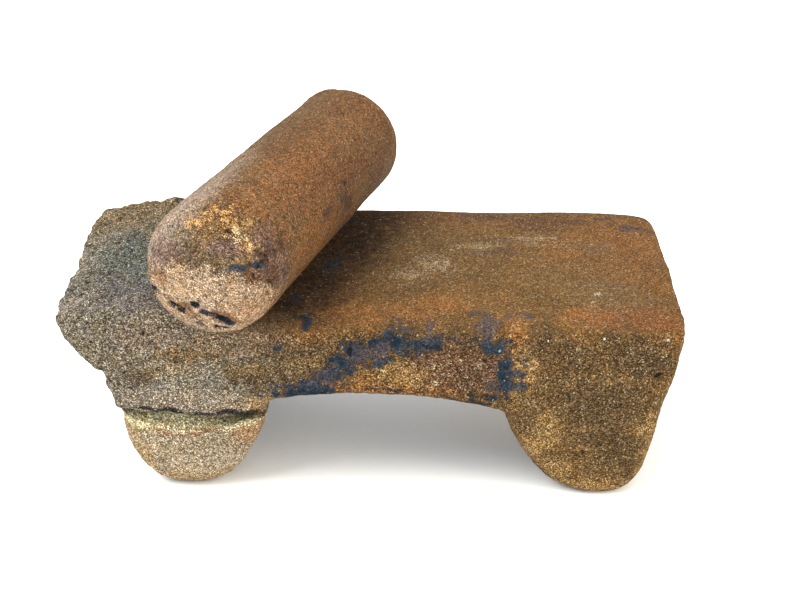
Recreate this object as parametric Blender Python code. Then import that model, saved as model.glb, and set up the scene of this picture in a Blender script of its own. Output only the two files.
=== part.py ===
"""Four-legged saddle quern with its handstone, carved from brown sandstone.

The quern is one block: a thick slab whose top is ground into a shallow saddle, on four stubby rounded legs.
The front left leg has broken off and stands in its place, under the rough stump. The handstone, a blunt
tapering roller, lies slantwise across the slab. Sizes are in metres. +X runs along the slab to the right and
+Y to the back.
"""

import math
from typing import NamedTuple

import bmesh
import bpy
from mathutils import Matrix, Vector, noise
from mathutils.bvhtree import BVHTree


class Leg(NamedTuple):
    """A leg's place along the slab, how blunt its sides are, and how far its outer side is pinched in.

    A bluntness of 2 is an ellipse, and more is squarer.
    """

    foot: float
    inner_face: float
    outer_bluntness: float
    inner_bluntness: float
    face_bluntness: float
    pinch: float


# The slab, measured in the quern's own frame: its middle over the origin, its feet on the floor
SLAB_LENGTH = 0.3680
SLAB_WIDTH = 0.154
SLAB_TOP = 0.1228
SADDLE_DIP = 0.0028
SADDLE_MIDDLE = 0.040
LEFT_RISE = 0.0055
RISE_START = 0.090
RISE_END = 0.140
LEFT_ROLL = 0.0052
RIGHT_ROLL = 0.0030
ROLL_START = 0.145
BACK_TAPER = 0.034
RIGHT_TRIM = 0.0040
RIGHT_TRIM_START = 0.090
LEFT_TRIM = 0.0100
LEFT_TRIM_START = 0.110
UNDERSIDE = 0.0728
LEFT_ARCH_DROP = 0.0033
RIGHT_ARCH_DROP = 0.0100
EDGE_LOOP = 0.0120
CORNER_TUCK = 0.0035
SLAB_LAYERS = (0.18, 0.42, 0.60, 0.80, 1.0)

# The ends: the right one leans in a little, the left one is a thick lip over the legs
RIGHT_LEAN = 0.0128
RIGHT_LEAN_HEIGHT = 0.060
LIP_UNDERCUT = 0.0175
LIP_HEIGHT = 0.0315
LIP_STEP = 0.0034
LIP_FOOT_LEAN = 0.0105
LIP_FOOT_HEIGHT = 0.0280

# The legs, a pair at each end; the front one of the left pair is broken
LEFT_LEG = Leg(-0.1100, -0.0600, outer_bluntness=2.3, inner_bluntness=2.1, face_bluntness=3.0, pinch=0.0058)
RIGHT_LEG = Leg(0.1350, 0.0775, outer_bluntness=3.2, inner_bluntness=2.0, face_bluntness=4.5, pinch=0.0)
PINCH_HEIGHTS = (0.036, 0.054, 0.068)
CHANNEL_BLUNTNESS = 2.0
LEG_GAP = 0.0380
FOOT_INSET = 0.0280
FOOT_ROUNDNESS = 0.35
LEG_REACH = 0.0030
LEG_LAYERS = (0.08, 0.19, 0.32, 0.47, 0.63, 0.79, 0.91, 0.985)
WEATHERING = 0.0016
WEATHER_SIZE = 0.045
QUERN_SEED = 3.7
STONE_SEED = 5.1

# The block under the floor that trims the feet flat
FLOOR_BLOCK = (0.60, 0.40, 0.030)

# The break through the front left leg, with the chip that its front edge lost
BREAK_HEIGHT = 0.0572
BREAK_FALL_RIGHT = 0.052
BREAK_FALL_BACK = 0.10
BREAK_ROUGHNESS = 0.0020
BREAK_SIZE = 0.016
BREAK_BLOCK = (0.150, 0.090)
BREAK_BLOCK_MIDDLE = (-0.124, -0.047)
BREAK_CELL = 0.005
GAP_LEFT = 0.0010
GAP_RIGHT = 0.0044
CHIP_MIDDLE = -0.1150
CHIP_HALF_LENGTH = 0.0400
CHIP_DEPTH = 0.0105
CHIP_REACH = 0.0160
LEG_SHIFT = (0.0002, 0.0004, 0.0)

# The handstone, from the end that overhangs the front edge to the end behind the slab
NEAR_RADIUS = 0.0400
FAR_RADIUS = 0.0352
NEAR_TIP = (-0.0955, -0.1030)
FAR_TIP = (-0.0140, 0.1170)
NEAR_DOME = 0.0400
FAR_DOME = 0.0235
NEAR_BLUNTNESS = 3.0
NEAR_DROOP = 0.0028
DROOP_LENGTH = 0.075
FAR_BLUNTNESS = 2.2
STONE_SIDES = 36
DOME_RINGS = 8
BARREL_RINGS = 6
WELD = 0.00005
STONE_WEATHERING = 0.0006
REST_GAP = 0.0003
SETTLING_STEPS = 12
EDGE_SHARES = (0.25, 0.50, 0.75)

# Finishes: colour, and roughness
FINISHES = {
    "quern": ((0.190, 0.120, 0.065), 0.90),
    "broken_leg": ((0.330, 0.250, 0.160), 0.92),
    "handstone": ((0.260, 0.160, 0.095), 0.82),
}


def clear_scene():
    """Remove every object that a new file starts with."""
    for item in list(bpy.data.objects):
        bpy.data.objects.remove(item, do_unlink=True)


def ease(value, low, high):
    """Ease from 0 at low to 1 at high."""
    t = min(max((value - low) / (high - low), 0.0), 1.0)
    return t * t * (3.0 - 2.0 * t)


def spread(start, end, count):
    """Evenly spaced values from start to end, both included."""
    return [start + (end - start) * i / count for i in range(count + 1)]


def bulge(depth, bluntness):
    """Width left at a depth from 0 to 1 of a rounded end, from 1 down to 0."""
    return (1.0 - depth ** bluntness) ** (1.0 / bluntness)


def new_object(name, bm, parent, cutter=False):
    """Turn a bmesh into an object; a cutter stays out of the model."""
    bmesh.ops.recalc_face_normals(bm, faces=bm.faces)
    mesh = bpy.data.meshes.new(name)
    bm.to_mesh(mesh)
    bm.free()
    item = bpy.data.objects.new(name, mesh)
    bpy.context.scene.collection.objects.link(item)
    item.parent = parent
    if cutter:
        item.hide_render = True
        item.display_type = 'WIRE'
    return item


def add_finish(item):
    """Give an object its stone colour and smooth shading."""
    colour, roughness = FINISHES[item.name]
    finish = bpy.data.materials.new(item.name)
    finish.use_nodes = True
    shader = finish.node_tree.nodes["Principled BSDF"]
    shader.inputs["Base Color"].default_value = (*colour, 1.0)
    shader.inputs["Roughness"].default_value = roughness
    shader.inputs["Metallic"].default_value = 0.0
    item.data.materials.append(finish)
    item.data.shade_smooth()


def add_subdivision(item):
    """Round the cage once."""
    rounding = item.modifiers.new("rounding", 'SUBSURF')
    rounding.levels = 1
    rounding.render_levels = 1


def add_boolean(item, cutter, operation):
    """Cut an object by a cutter, or keep what the two share."""
    cut = item.modifiers.new(cutter.name, 'BOOLEAN')
    cut.operation = operation
    cut.solver = 'EXACT'
    cut.object = cutter


def waver(place, seed):
    """A smooth, fixed wavering of each of the three directions, about -1 to 1."""
    return Vector([noise.noise(place + Vector((seed, 7.3 * axis, -seed))) for axis in (1, 2, 3)])


def weather(bm, amount, size, seed):
    """Wear a surface uneven: each corner moves a little, less and less towards the floor."""
    for vert in bm.verts:
        push = waver(vert.co / size, seed)
        push.z *= ease(vert.co.z, 0.0, 0.02)
        vert.co += push * amount


def top_height(x):
    """Height of the ground top: a shallow saddle with a hump near its left end, rolling over at both ends."""
    along = (x - SADDLE_MIDDLE) / (SLAB_LENGTH / 2)
    saddle = SLAB_TOP - SADDLE_DIP * (1.0 - along * along)
    hump = LEFT_RISE * ease(-x, RISE_START, RISE_END)
    roll = (RIGHT_ROLL if x > 0 else LEFT_ROLL) * ease(abs(x), ROLL_START, SLAB_LENGTH / 2)
    return saddle + hump - roll


def underside_height(x):
    """Height of the underside: a low arch between the legs."""
    drop, leg = (RIGHT_ARCH_DROP, RIGHT_LEG) if x > 0 else (LEFT_ARCH_DROP, LEFT_LEG)
    return UNDERSIDE - drop * min(x / leg.inner_face, 1.0) ** 2


def right_lean(z):
    """How far the right end has leaned in at a height."""
    return RIGHT_LEAN * (max(SLAB_TOP - z, 0.0) / RIGHT_LEAN_HEIGHT) ** 1.6


def left_lean(z):
    """How far the left end has gone in at a height: round the lip, then down the outer face of the legs."""
    below_top = max(SLAB_TOP - z, 0.0)
    if below_top < LIP_HEIGHT:
        return LIP_UNDERCUT * (below_top / LIP_HEIGHT) ** 2.1
    below_lip = (below_top - LIP_HEIGHT) / LIP_FOOT_HEIGHT
    return LIP_UNDERCUT + LIP_STEP + LIP_FOOT_LEAN * below_lip ** 1.3


def slab_point(x, y, layer):
    """Place of a cage corner, from its place in plan and its layer: 0 at the top, 1 at the underside."""
    half_length, half_width = SLAB_LENGTH / 2, SLAB_WIDTH / 2
    z = top_height(x) + (underside_height(x) - top_height(x)) * layer
    lean = right_lean(z) if x > 0 else left_lean(z)
    lean *= ease(abs(x), half_length - 2.2 * EDGE_LOOP, half_length - EDGE_LOOP / 2)
    at_end = ease(abs(x), half_length - EDGE_LOOP, half_length)
    at_face = ease(abs(y), half_width - EDGE_LOOP, half_width)
    tuck = CORNER_TUCK * at_end * at_face
    taper = 1.0 - BACK_TAPER * (y / SLAB_WIDTH + 0.5)
    if x > 0:
        trim = RIGHT_TRIM * ease(x, RIGHT_TRIM_START, half_length)
    else:
        trim = LEFT_TRIM * ease(-x, LEFT_TRIM_START, half_length)
    trim *= ease(y, 0.0, half_width)
    return Vector(((x - math.copysign(lean + tuck, x)) * taper, y - math.copysign(tuck, y) - trim, z))


def slab_columns():
    """Cage lines along the slab, from the left end to the right end."""
    half = SLAB_LENGTH / 2
    left = [-half, *spread(-half + EDGE_LOOP, LEFT_LEG.inner_face, 3)]
    middle = spread(LEFT_LEG.inner_face, RIGHT_LEG.inner_face, 4)[1:-1]
    right = [*spread(RIGHT_LEG.inner_face, half - EDGE_LOOP, 3), half]
    return left + middle + right


def slab_rows():
    """Cage lines across the slab, from the front to the back."""
    half = SLAB_WIDTH / 2
    front = [-half, *spread(-half + EDGE_LOOP, -LEG_GAP / 2, 2)]
    return front + [0.0] + [-y for y in reversed(front)]


def extrude(bm, faces, keep_base=False):
    """Extrude faces in one piece, and return the faces and corners that grew."""
    grown = bmesh.ops.extrude_face_region(bm, geom=faces)["geom"]
    if not keep_base:
        bmesh.ops.delete(bm, geom=faces, context='FACES')
    new_faces = [item for item in grown if isinstance(item, bmesh.types.BMFace)]
    new_verts = [item for item in grown if isinstance(item, bmesh.types.BMVert)]
    return new_faces, new_verts


def carries_leg(face, plan, leg, side):
    """Whether a face of the underside carries a leg, on the front (-1) or the back (1) side of the slab."""
    x = sum(vert[plan[0]] for vert in face.verts) / len(face.verts)
    y = sum(vert[plan[1]] for vert in face.verts) / len(face.verts)
    return (x - leg.inner_face) * leg.foot > 0.0 and y * side > LEG_GAP / 2


def pinched(height):
    """Share of a leg's pinch at a height: all of it just under the break, none at the foot and at the slab."""
    low, middle, high = PINCH_HEIGHTS
    return ease(height, low, middle) * (1.0 - ease(height, middle, high))


def grow_leg(bm, plan, faces, leg, foot):
    """Extrude one leg down in layers that close in on its foot, and turn from square to round in plan."""
    corners = {vert for face in faces for vert in face.verts}
    reach = {}
    for vert in corners:
        arm = slab_point(vert[plan[0]], vert[plan[1]], 1.0).xy - foot
        for axis in (0, 1):
            side = axis, arm[axis] > 0.0
            reach[side] = max(reach.get(side, 0.0), abs(arm[axis]))
    for depth in LEG_LAYERS:
        faces, verts = extrude(bm, faces)
        roundness = FOOT_ROUNDNESS * ease(depth, 0.0, 0.6)
        for vert in verts:
            start = slab_point(vert[plan[0]], vert[plan[1]], 1.0)
            arm = start.xy - foot
            u, v = (arm[axis] / reach[axis, arm[axis] > 0.0] for axis in (0, 1))
            height = start.z - (start.z + LEG_REACH) * depth
            outer = arm.x * foot.x > 0.0
            side_bluntness = leg.outer_bluntness if outer else leg.inner_bluntness
            face_bluntness = leg.face_bluntness if arm.y * foot.y > 0.0 else CHANNEL_BLUNTNESS
            arm.x *= bulge(depth, side_bluntness) * math.sqrt(1.0 - roundness * v * v)
            arm.y *= bulge(depth, face_bluntness) * math.sqrt(1.0 - roundness * u * u)
            if outer:
                arm.x -= math.copysign(leg.pinch * pinched(height), foot.x)
            vert.co = (*(foot + arm), height)


def quern_cage():
    """The cage of the whole block as it was carved, with all four of its legs."""
    columns, rows = slab_columns(), slab_rows()
    across, along = len(rows) - 1, len(columns) - 1
    bm = bmesh.new()
    bmesh.ops.create_grid(bm, x_segments=along, y_segments=across, size=0.5)
    plan = bm.verts.layers.float.new("plan_x"), bm.verts.layers.float.new("plan_y")
    for vert in bm.verts:
        vert[plan[0]] = columns[round((vert.co.x + 0.5) * along)]
        vert[plan[1]] = rows[round((vert.co.y + 0.5) * across)]
        vert.co = slab_point(vert[plan[0]], vert[plan[1]], 0.0)
    faces = bm.faces[:]
    for layer in SLAB_LAYERS:
        faces, verts = extrude(bm, faces, keep_base=layer == SLAB_LAYERS[0])
        for vert in verts:
            vert.co = slab_point(vert[plan[0]], vert[plan[1]], layer)
    for leg in (LEFT_LEG, RIGHT_LEG):
        for side in (-1.0, 1.0):
            foot = Vector((leg.foot, side * (SLAB_WIDTH / 2 - FOOT_INSET)))
            grow_leg(bm, plan, [face for face in faces if carries_leg(face, plan, leg, side)], leg, foot)
            faces = [face for face in faces if face.is_valid]
    weather(bm, WEATHERING, WEATHER_SIZE, QUERN_SEED)
    return bm


def break_height(x, y):
    """Height of the break, in the quern's frame, with its rough grain."""
    place = Vector((x, y, 0.0)) / BREAK_SIZE
    rough = noise.noise(place) + noise.noise(place * 2.0) / 2.0
    slope = BREAK_FALL_RIGHT * (x - LEFT_LEG.foot) + BREAK_FALL_BACK * (y + SLAB_WIDTH / 2 - FOOT_INSET)
    return BREAK_HEIGHT - slope + BREAK_ROUGHNESS * rough


def leg_top_height(x, y):
    """Height of the broken leg's top: the break less the gap and the chip along its front edge."""
    right = ease(x, 2.0 * LEFT_LEG.foot - LEFT_LEG.inner_face, LEFT_LEG.inner_face)
    gap = GAP_LEFT + (GAP_RIGHT - GAP_LEFT) * right
    bite = max(0.0, 1.0 - ((x - CHIP_MIDDLE) / CHIP_HALF_LENGTH) ** 2)
    front = 1.0 - ease(y, -SLAB_WIDTH / 2, -SLAB_WIDTH / 2 + CHIP_REACH)
    return break_height(x, y) - gap - CHIP_DEPTH * bite * front


def break_block(name, surface, parent):
    """A block round the broken leg, its top shaped by a height function."""
    length, width = BREAK_BLOCK
    bm = bmesh.new()
    bmesh.ops.create_grid(
        bm, x_segments=round(length / BREAK_CELL), y_segments=round(width / BREAK_CELL), size=0.5,
    )
    for vert in bm.verts:
        x = BREAK_BLOCK_MIDDLE[0] + vert.co.x * length
        y = BREAK_BLOCK_MIDDLE[1] + vert.co.y * width
        vert.co = x, y, surface(x, y)
    for vert in extrude(bm, bm.faces[:], keep_base=True)[1]:
        vert.co.z = -FLOOR_BLOCK[2]
    return new_object(name, bm, parent, cutter=True)


def floor_block(parent):
    """A block under the floor, which trims the feet flat."""
    bm = bmesh.new()
    bmesh.ops.create_cube(bm, size=1.0)
    bmesh.ops.scale(bm, vec=FLOOR_BLOCK, verts=bm.verts)
    bmesh.ops.translate(bm, vec=(0.0, 0.0, -FLOOR_BLOCK[2] / 2), verts=bm.verts)
    return new_object("floor_trim", bm, parent, cutter=True)


def stone_profile(length):
    """Radius along the handstone, as (distance from its near tip, radius), from tip to tip."""
    taper = (FAR_RADIUS - NEAR_RADIUS) / length
    profile = []
    for turn in spread(0.0, math.pi / 2, DOME_RINGS):
        s = NEAR_DOME * (1.0 - math.cos(turn))
        profile.append((s, (NEAR_RADIUS + taper * s) * bulge(math.cos(turn), NEAR_BLUNTNESS)))
    for s in spread(NEAR_DOME, length - FAR_DOME, BARREL_RINGS)[1:-1]:
        profile.append((s, NEAR_RADIUS + taper * s))
    for turn in spread(math.pi / 2, 0.0, DOME_RINGS):
        s = length - FAR_DOME * (1.0 - math.cos(turn))
        profile.append((s, (NEAR_RADIUS + taper * s) * bulge(math.cos(turn), FAR_BLUNTNESS)))
    return profile


def handstone_form():
    """The handstone, turned about +X from its near tip at the origin."""
    length = math.dist(NEAR_TIP, FAR_TIP)
    bm = bmesh.new()
    rim = [bm.verts.new((s, 0.0, radius)) for s, radius in stone_profile(length)]
    edges = [bm.edges.new(pair) for pair in zip(rim, rim[1:])]
    bmesh.ops.spin(
        bm, geom=rim + edges, cent=(0.0, 0.0, 0.0), axis=(1.0, 0.0, 0.0), angle=2.0 * math.pi,
        steps=STONE_SIDES, use_merge=True,
    )
    bmesh.ops.remove_doubles(bm, verts=bm.verts, dist=WELD)
    for vert in bm.verts:
        vert.co += waver(vert.co / WEATHER_SIZE, STONE_SEED) * STONE_WEATHERING
        vert.co.z -= NEAR_DROOP * (1.0 - ease(vert.co.x, 0.0, DROOP_LENGTH))
    return bm


def stone_pose(near_height, far_height):
    """Pose that carries the handstone's axis from its near tip to its far tip."""
    near = Vector((*NEAR_TIP, near_height))
    axis = Vector((*FAR_TIP, far_height)) - near
    return Matrix.Translation(near) @ axis.to_track_quat('X', 'Z').to_matrix().to_4x4()


class Surface(NamedTuple):
    """A mesh to measure to, and points all over it to measure from."""

    tree: BVHTree
    points: list


def surface_of(mesh, lowest=-math.inf):
    """Get a mesh ready for measuring; its points are its corners and a few along each edge."""
    tree = BVHTree.FromPolygons([vert.co for vert in mesh.vertices], [face.vertices for face in mesh.polygons])
    points = [vert.co.copy() for vert in mesh.vertices]
    for edge in mesh.edges:
        start, end = (mesh.vertices[i].co for i in edge.vertices)
        points += [start.lerp(end, share) for share in EDGE_SHARES]
    return Surface(tree, [point for point in points if point.z > lowest])


def clearances(stone, bed, pose):
    """Smallest drop from the handstone to the bed under its near half, and under its far half."""
    drops = [math.inf, math.inf]
    middle = math.dist(NEAR_TIP, FAR_TIP) / 2
    down, back = Vector((0.0, 0.0, -1.0)), pose.inverted()
    up = back.to_3x3() @ -down
    for point in stone.points:
        distance = bed.tree.ray_cast(pose @ point, down)[3]
        if distance is not None:
            half = int(point.x > middle)
            drops[half] = min(drops[half], distance)
    for point in bed.points:
        place, _, _, distance = stone.tree.ray_cast(back @ point, up)
        if distance is not None:
            half = int(place.x > middle)
            drops[half] = min(drops[half], distance)
    return drops


def lay_down(stone, bed):
    """Lower the two ends of the handstone until it rests on the bed near both."""
    graph = bpy.context.evaluated_depsgraph_get()
    graph.update()
    bed_surface = surface_of(bed.evaluated_get(graph).to_mesh(), lowest=UNDERSIDE)
    bed.evaluated_get(graph).to_mesh_clear()
    stone_surface = surface_of(stone.data)
    heights = [SLAB_TOP + 1.5 * NEAR_RADIUS] * 2
    for _ in range(SETTLING_STEPS):
        drops = clearances(stone_surface, bed_surface, stone_pose(*heights))
        heights = [height - (drop - REST_GAP) for height, drop in zip(heights, drops)]
    stone.matrix_world = stone_pose(*heights)


def centre_on_floor(root, items):
    """Move the root so that the middle of the whole object's box stands over the origin."""
    graph = bpy.context.evaluated_depsgraph_get()
    graph.update()
    corners = [item.matrix_world @ Vector(c) for item in items for c in item.evaluated_get(graph).bound_box]
    for axis in (0, 1):
        values = [corner[axis] for corner in corners]
        root.location[axis] = -(min(values) + max(values)) / 2
    root.location.z = -min(corner.z for corner in corners)


def build():
    """Model the quern, its broken leg and its handstone."""
    clear_scene()
    root = bpy.data.objects.new("quern_frame", None)
    bpy.context.scene.collection.objects.link(root)
    floor = floor_block(root)

    quern = new_object("quern", quern_cage(), root)
    add_subdivision(quern)
    add_boolean(quern, break_block("break_gap", break_height, root), 'DIFFERENCE')
    add_boolean(quern, floor, 'DIFFERENCE')

    leg = new_object("broken_leg", quern_cage(), root)
    leg_block = break_block("break_keep", leg_top_height, root)
    leg.location = leg_block.location = LEG_SHIFT
    add_subdivision(leg)
    add_boolean(leg, leg_block, 'INTERSECT')
    add_boolean(leg, floor, 'DIFFERENCE')

    stone = new_object("handstone", handstone_form(), root)
    lay_down(stone, quern)
    for item in (quern, leg, stone):
        add_finish(item)
    centre_on_floor(root, (quern, leg, stone))


build()
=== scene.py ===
"""Looks of a four-legged saddle quern, its broken front leg, and the handstone that lies across it.

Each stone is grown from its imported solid: a fine copy is worn, pitted and chipped in its mesh, and carries
a sandstone finish of coloured grains, with stains at named places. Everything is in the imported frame: +X runs
along the slab to the right, +Y to the back, and the floor is at z = 0. Sizes are in metres, and those of the
spots in millimetres.
"""

import logging
import math
from collections.abc import Mapping
from dataclasses import dataclass, field
from enum import Enum
from typing import Any

import bmesh
import bpy
import numpy as np
from mathutils import Euler, Matrix, Vector, noise


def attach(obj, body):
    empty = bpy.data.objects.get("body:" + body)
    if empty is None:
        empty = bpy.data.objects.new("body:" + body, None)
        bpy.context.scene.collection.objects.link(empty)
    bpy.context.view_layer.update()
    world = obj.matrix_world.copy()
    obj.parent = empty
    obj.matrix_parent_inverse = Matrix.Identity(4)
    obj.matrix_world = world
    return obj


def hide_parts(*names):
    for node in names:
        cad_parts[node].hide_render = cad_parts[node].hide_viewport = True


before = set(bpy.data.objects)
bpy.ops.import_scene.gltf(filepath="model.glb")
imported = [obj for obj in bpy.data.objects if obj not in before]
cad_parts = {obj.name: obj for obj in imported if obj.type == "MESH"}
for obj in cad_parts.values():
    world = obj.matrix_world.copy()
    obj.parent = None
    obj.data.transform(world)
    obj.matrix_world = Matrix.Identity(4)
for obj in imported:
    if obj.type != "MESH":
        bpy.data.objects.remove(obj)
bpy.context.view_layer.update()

Triple = tuple[float, float, float]
Colour = tuple[float, float, float, float]

MILLIMETRE = 0.001
LIGHT_ON_TOP = 2.15
SCREEN_WHITE = 255.0
SCREEN_OFFSET = 0.055
SCREEN_POWER = 2.4
OUTSIDE = -3.0
LUMP_SHIFT = Vector((3.1, 1.7, 9.2))
WAVER_SHIFTS = (Vector((0.0, 0.0, 0.0)), Vector((7.3, 1.9, 4.4)), Vector((3.8, 9.1, 2.7)))
COOL_GRAIN: Colour = (0.90, 0.98, 1.12, 1.0)
WARM_GRAIN: Colour = (1.16, 1.01, 0.70, 1.0)

log = logging.getLogger("quern")


def earth(red: float, green: float, blue: float) -> Colour:
    """Turn the colour that a level stone shows, as three values from 0 to 255, into its own colour.

    Args:
        red: Red as seen.
        green: Green as seen.
        blue: Blue as seen.

    Returns:
        The linear colour of the stone itself, under light of strength LIGHT_ON_TOP.
    """
    linear = []
    for value in (red, green, blue):
        lifted = (value / SCREEN_WHITE + SCREEN_OFFSET) / (1.0 + SCREEN_OFFSET)
        linear.append(lifted ** SCREEN_POWER / LIGHT_ON_TOP)
    return (*linear, 1.0)


def ease(value: float, low: float, high: float) -> float:
    """Ease from 0 at low to 1 at high.

    Args:
        value: Where to read the curve.
        low: Where it starts to rise.
        high: Where it reaches 1.

    Returns:
        A value from 0 to 1.
    """
    t = min(max((value - low) / (high - low), 0.0), 1.0)
    return t * t * (3.0 - 2.0 * t)


class Pigment(Enum):
    """What colours a stain: the colour that it shows on a level face."""

    SLATE = earth(40, 62, 78)
    NAVY = earth(24, 42, 60)
    INK = earth(30, 30, 34)
    MAUVE = earth(88, 80, 84)
    LILAC = earth(122, 95, 86)
    PLUM = earth(88, 64, 54)
    RUST = earth(160, 106, 58)
    BRICK = earth(138, 86, 54)
    OCHRE = earth(172, 134, 82)
    GOLD = earth(232, 178, 112)
    CREAM = earth(236, 214, 176)
    CRYSTAL = earth(250, 244, 232)
    MOSS = earth(98, 92, 74)
    DRAB = earth(86, 68, 46)
    LICHEN = earth(214, 200, 152)
    TEAL = earth(84, 88, 80)
    ASH = earth(127, 119, 103)
    OLIVE = earth(114, 90, 58)
    # Painted highlight: the pale grey sheen that light leaves along the handstone's upper left flank.
    PAINTED_SHEEN = earth(192, 172, 154)
    TAN = earth(190, 160, 130)
    # Used only for painted shade: in pits and chips, and as painted shadow beside and around the handstone.
    SHADE_UMBER = earth(70, 50, 34)


class Field:
    """A value or colour that changes over a surface: a node's output, whose arithmetic adds Math nodes."""

    MIDDLE = 0.5

    def __init__(self, bench: "Bench", socket: bpy.types.NodeSocket) -> None:
        """Wrap a socket of a bench's node tree."""
        self.bench = bench
        self.socket = socket

    def math(self, operation: str, *values: "Field | float") -> "Field":
        """Add one Math node, with its inputs in order, and give its value."""
        return self.bench.add("ShaderNodeMath", {"operation": operation}, dict(enumerate(values)))

    def __add__(self, other: "Field | float") -> "Field":
        """Add."""
        return self.math("ADD", self, other)

    def __radd__(self, other: float) -> "Field":
        """Add to a number."""
        return self.math("ADD", other, self)

    def __sub__(self, other: "Field | float") -> "Field":
        """Subtract."""
        return self.math("SUBTRACT", self, other)

    def __rsub__(self, other: float) -> "Field":
        """Subtract from a number."""
        return self.math("SUBTRACT", other, self)

    def __mul__(self, other: "Field | float") -> "Field":
        """Multiply."""
        return self.math("MULTIPLY", self, other)

    def __rmul__(self, other: float) -> "Field":
        """Multiply a number."""
        return self.math("MULTIPLY", other, self)

    def __rpow__(self, other: float) -> "Field":
        """Raise a number to this power."""
        return self.math("POWER", other, self)

    def swing(self, width: float) -> "Field":
        """Turn a value around one half into one around zero, this many times as wide."""
        return (self - self.MIDDLE) * width


class Bench:
    """A material's node tree, and the one way in which nodes are added to it."""

    MIX_FACTOR, MIX_FIRST, MIX_SECOND, MIX_OUT = 0, 6, 7, 2
    NOISE_ROUGHNESS = 0.55
    STIR_DETAIL = 3.0

    def __init__(self, name: str) -> None:
        """Start a new material that holds only its shader."""
        self.material = bpy.data.materials.new(name)
        self.material.use_nodes = True
        self.tree = self.material.node_tree
        self.shader = self.tree.nodes["Principled BSDF"]

    def feed(self, socket: bpy.types.NodeSocket, value: Any) -> None:
        """Link a field to a socket, or set a constant on it."""
        if isinstance(value, Field):
            self.tree.links.new(value.socket, socket)
        else:
            socket.default_value = value

    def add(
        self, kind: str, settings: Mapping[str, Any], sockets: Mapping[str | int, Any], out: str | int = 0,
    ) -> Field:
        """Add a node of any kind.

        Args:
            kind: The node's type.
            settings: Its settings, which are made first.
            sockets: Values or fields of its inputs, by name or number.
            out: The output that is wanted.

        Returns:
            That output.
        """
        node = self.tree.nodes.new(kind)
        for setting, value in settings.items():
            setattr(node, setting, value)
        for key, value in sockets.items():
            self.feed(node.inputs[key], value)
        return Field(self, node.outputs[out])

    def place(self) -> Field:
        """Give the position on the piece, in metres."""
        return self.add("ShaderNodeTexCoord", {}, {}, "Object")

    def attribute(self, name: str) -> Field:
        """Read one of the piece's own attributes."""
        settings = {"attribute_type": "GEOMETRY", "attribute_name": name}
        return self.add("ShaderNodeAttribute", settings, {}, "Fac")

    def vector(self, operation: str, sockets: Mapping[str | int, Any], out: str | int = 0) -> Field:
        """Add one Vector Math node."""
        return self.add("ShaderNodeVectorMath", {"operation": operation}, sockets, out)

    def noise(self, place: Field, size: float, detail: float = 2.0, out: str = "Fac") -> Field:
        """Add smooth noise with lumps of a size: Fac for a value around one half, Color for three of them."""
        sockets = {"Vector": place, "Scale": 1.0 / size, "Detail": detail, "Roughness": self.NOISE_ROUGHNESS}
        return self.add("ShaderNodeTexNoise", {"noise_dimensions": "3D"}, sockets, out)

    def cells(self, place: Field, size: float, out: str) -> Field:
        """Add cells like packed grains: Color for a random colour on each, Distance from its middle."""
        sockets = {"Vector": place, "Scale": 1.0 / size}
        return self.add("ShaderNodeTexVoronoi", {"voronoi_dimensions": "3D"}, sockets, out)

    def stir(self, place: Field, size: float, amount: float) -> Field:
        """Make a position waver.

        Args:
            place: Position on the piece.
            size: Width of the lumps that stir it, in metres.
            amount: How far it is moved, in metres.

        Returns:
            The wavering position.
        """
        lumps = self.noise(place, size, self.STIR_DETAIL, "Color")
        push = self.vector("SUBTRACT", {0: lumps, 1: (Field.MIDDLE,) * 3})
        push = self.vector("SCALE", {0: push, "Scale": amount})
        return self.vector("ADD", {0: place, 1: push})

    def channel(self, colour: Field, name: str) -> Field:
        """Take one channel of a colour: Red, Green or Blue."""
        return self.add("ShaderNodeSeparateColor", {"mode": "RGB"}, {"Color": colour}, name)

    def axis(self, place: Field, name: str) -> Field:
        """Take one axis of a position: X, Y or Z."""
        return self.add("ShaderNodeSeparateXYZ", {}, {"Vector": place}, name)

    def smooth(self, value: Field, low: float, high: float, start: float = 0.0, end: float = 1.0) -> Field:
        """Ease a value from start at low to end at high.

        Args:
            value: The value that is read.
            low: Where the change starts.
            high: Where it ends.
            start: Result below low.
            end: Result above high.

        Returns:
            The eased value.
        """
        sockets = {"Value": value, "From Min": low, "From Max": high, "To Min": start, "To Max": end}
        return self.add("ShaderNodeMapRange", {"interpolation_type": "SMOOTHSTEP"}, sockets)

    def mix(self, cover: Field, under: Field | Colour, over: Field | Colour, blend: str = "MIX") -> Field:
        """Lay one colour over another, which shows by the cover from 0 to 1."""
        sockets = {self.MIX_FACTOR: cover, self.MIX_FIRST: under, self.MIX_SECOND: over}
        return self.add("ShaderNodeMix", {"data_type": "RGBA", "blend_type": blend}, sockets, self.MIX_OUT)


@dataclass(frozen=True)
class Spot:
    """An ellipsoid at a real place: its middle and half sizes in millimetres, and its turn in degrees."""

    at: Triple
    reach: Triple
    turn: Triple = (0.0, 0.0, 0.0)

    def middle(self) -> Vector:
        """Give the middle in metres."""
        return Vector(self.at) * MILLIMETRE

    def half_sizes(self) -> Vector:
        """Give the half sizes in metres."""
        return Vector(self.reach) * MILLIMETRE

    def rotation(self) -> Euler:
        """Give the turn as Euler angles."""
        return Euler([math.radians(angle) for angle in self.turn])

    def frame(self) -> Matrix:
        """Give the transform that carries the spot's place to a unit sphere at the origin."""
        size = Matrix.Diagonal((*self.half_sizes(), 1.0))
        return (Matrix.Translation(self.middle()) @ self.rotation().to_matrix().to_4x4() @ size).inverted()

    def depth(self, places: np.ndarray) -> np.ndarray:
        """Work out how deep points lie inside: 1 at the middle, 0 at the rim and less outside."""
        into = np.array(self.frame())
        return 1.0 - np.linalg.norm(places @ into[:3, :3].T + into[:3, 3], axis=1)


@dataclass(frozen=True)
class Grains:
    """What the sand grains do to the stone's colour at each point."""

    light: Field
    hue: Field
    rare: Field
    fray: Field
    mottle: Field


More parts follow.
